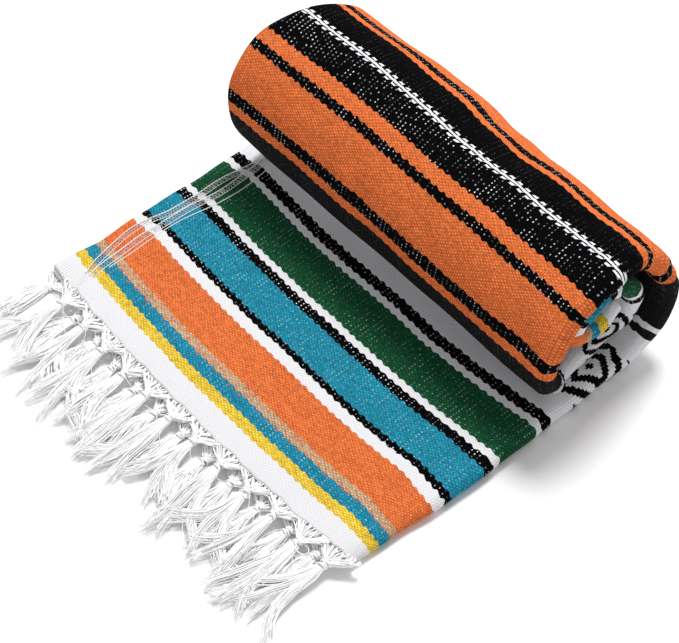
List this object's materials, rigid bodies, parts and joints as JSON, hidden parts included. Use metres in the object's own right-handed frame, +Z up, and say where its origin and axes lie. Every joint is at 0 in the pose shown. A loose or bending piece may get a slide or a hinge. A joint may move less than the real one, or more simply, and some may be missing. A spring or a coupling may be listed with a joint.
{
  "type": "folded and rolled striped blanket",
  "caption": "Handwoven striped blanket with knotted fringe, folded across its width and rolled up, with its fringed end laid out flat in front of the roll.",
  "frame": {"origin": "middle of the bounding box, on the floor it lies on", "axes": "+X across the folded cloth, along the roll; +Y from the fringe to the roll; +Z up"},
  "size_m": [0.351, 0.385, 0.1374],
  "materials": {
    "striped_cloth": "matt handwoven",
    "inner_cloth": "matt handwoven",
    "fringe_yarn": "matt twisted yarn"
  },
  "bodies": {
    "root": {"cloth_flat_and_outer_turn": "striped_cloth", "cloth_inner_coil": "inner_cloth", "tassel_upper_01": "fringe_yarn", "tassel_upper_02": "fringe_yarn", "tassel_upper_03": "fringe_yarn", "tassel_upper_04": "fringe_yarn", "tassel_upper_05": "fringe_yarn", "tassel_upper_06": "fringe_yarn", "tassel_upper_07": "fringe_yarn", "tassel_upper_08": "fringe_yarn", "tassel_upper_09": "fringe_yarn", "tassel_upper_10": "fringe_yarn", "tassel_upper_11": "fringe_yarn", "tassel_upper_12": "fringe_yarn", "tassel_lower_01": "fringe_yarn", "tassel_lower_02": "fringe_yarn", "tassel_lower_03": "fringe_yarn", "tassel_lower_04": "fringe_yarn", "tassel_lower_05": "fringe_yarn", "tassel_lower_06": "fringe_yarn", "tassel_lower_07": "fringe_yarn", "tassel_lower_08": "fringe_yarn", "tassel_lower_09": "fringe_yarn", "tassel_lower_10": "fringe_yarn", "tassel_lower_11": "fringe_yarn", "tassel_lower_12": "fringe_yarn"}
  },
  "joints": []
}
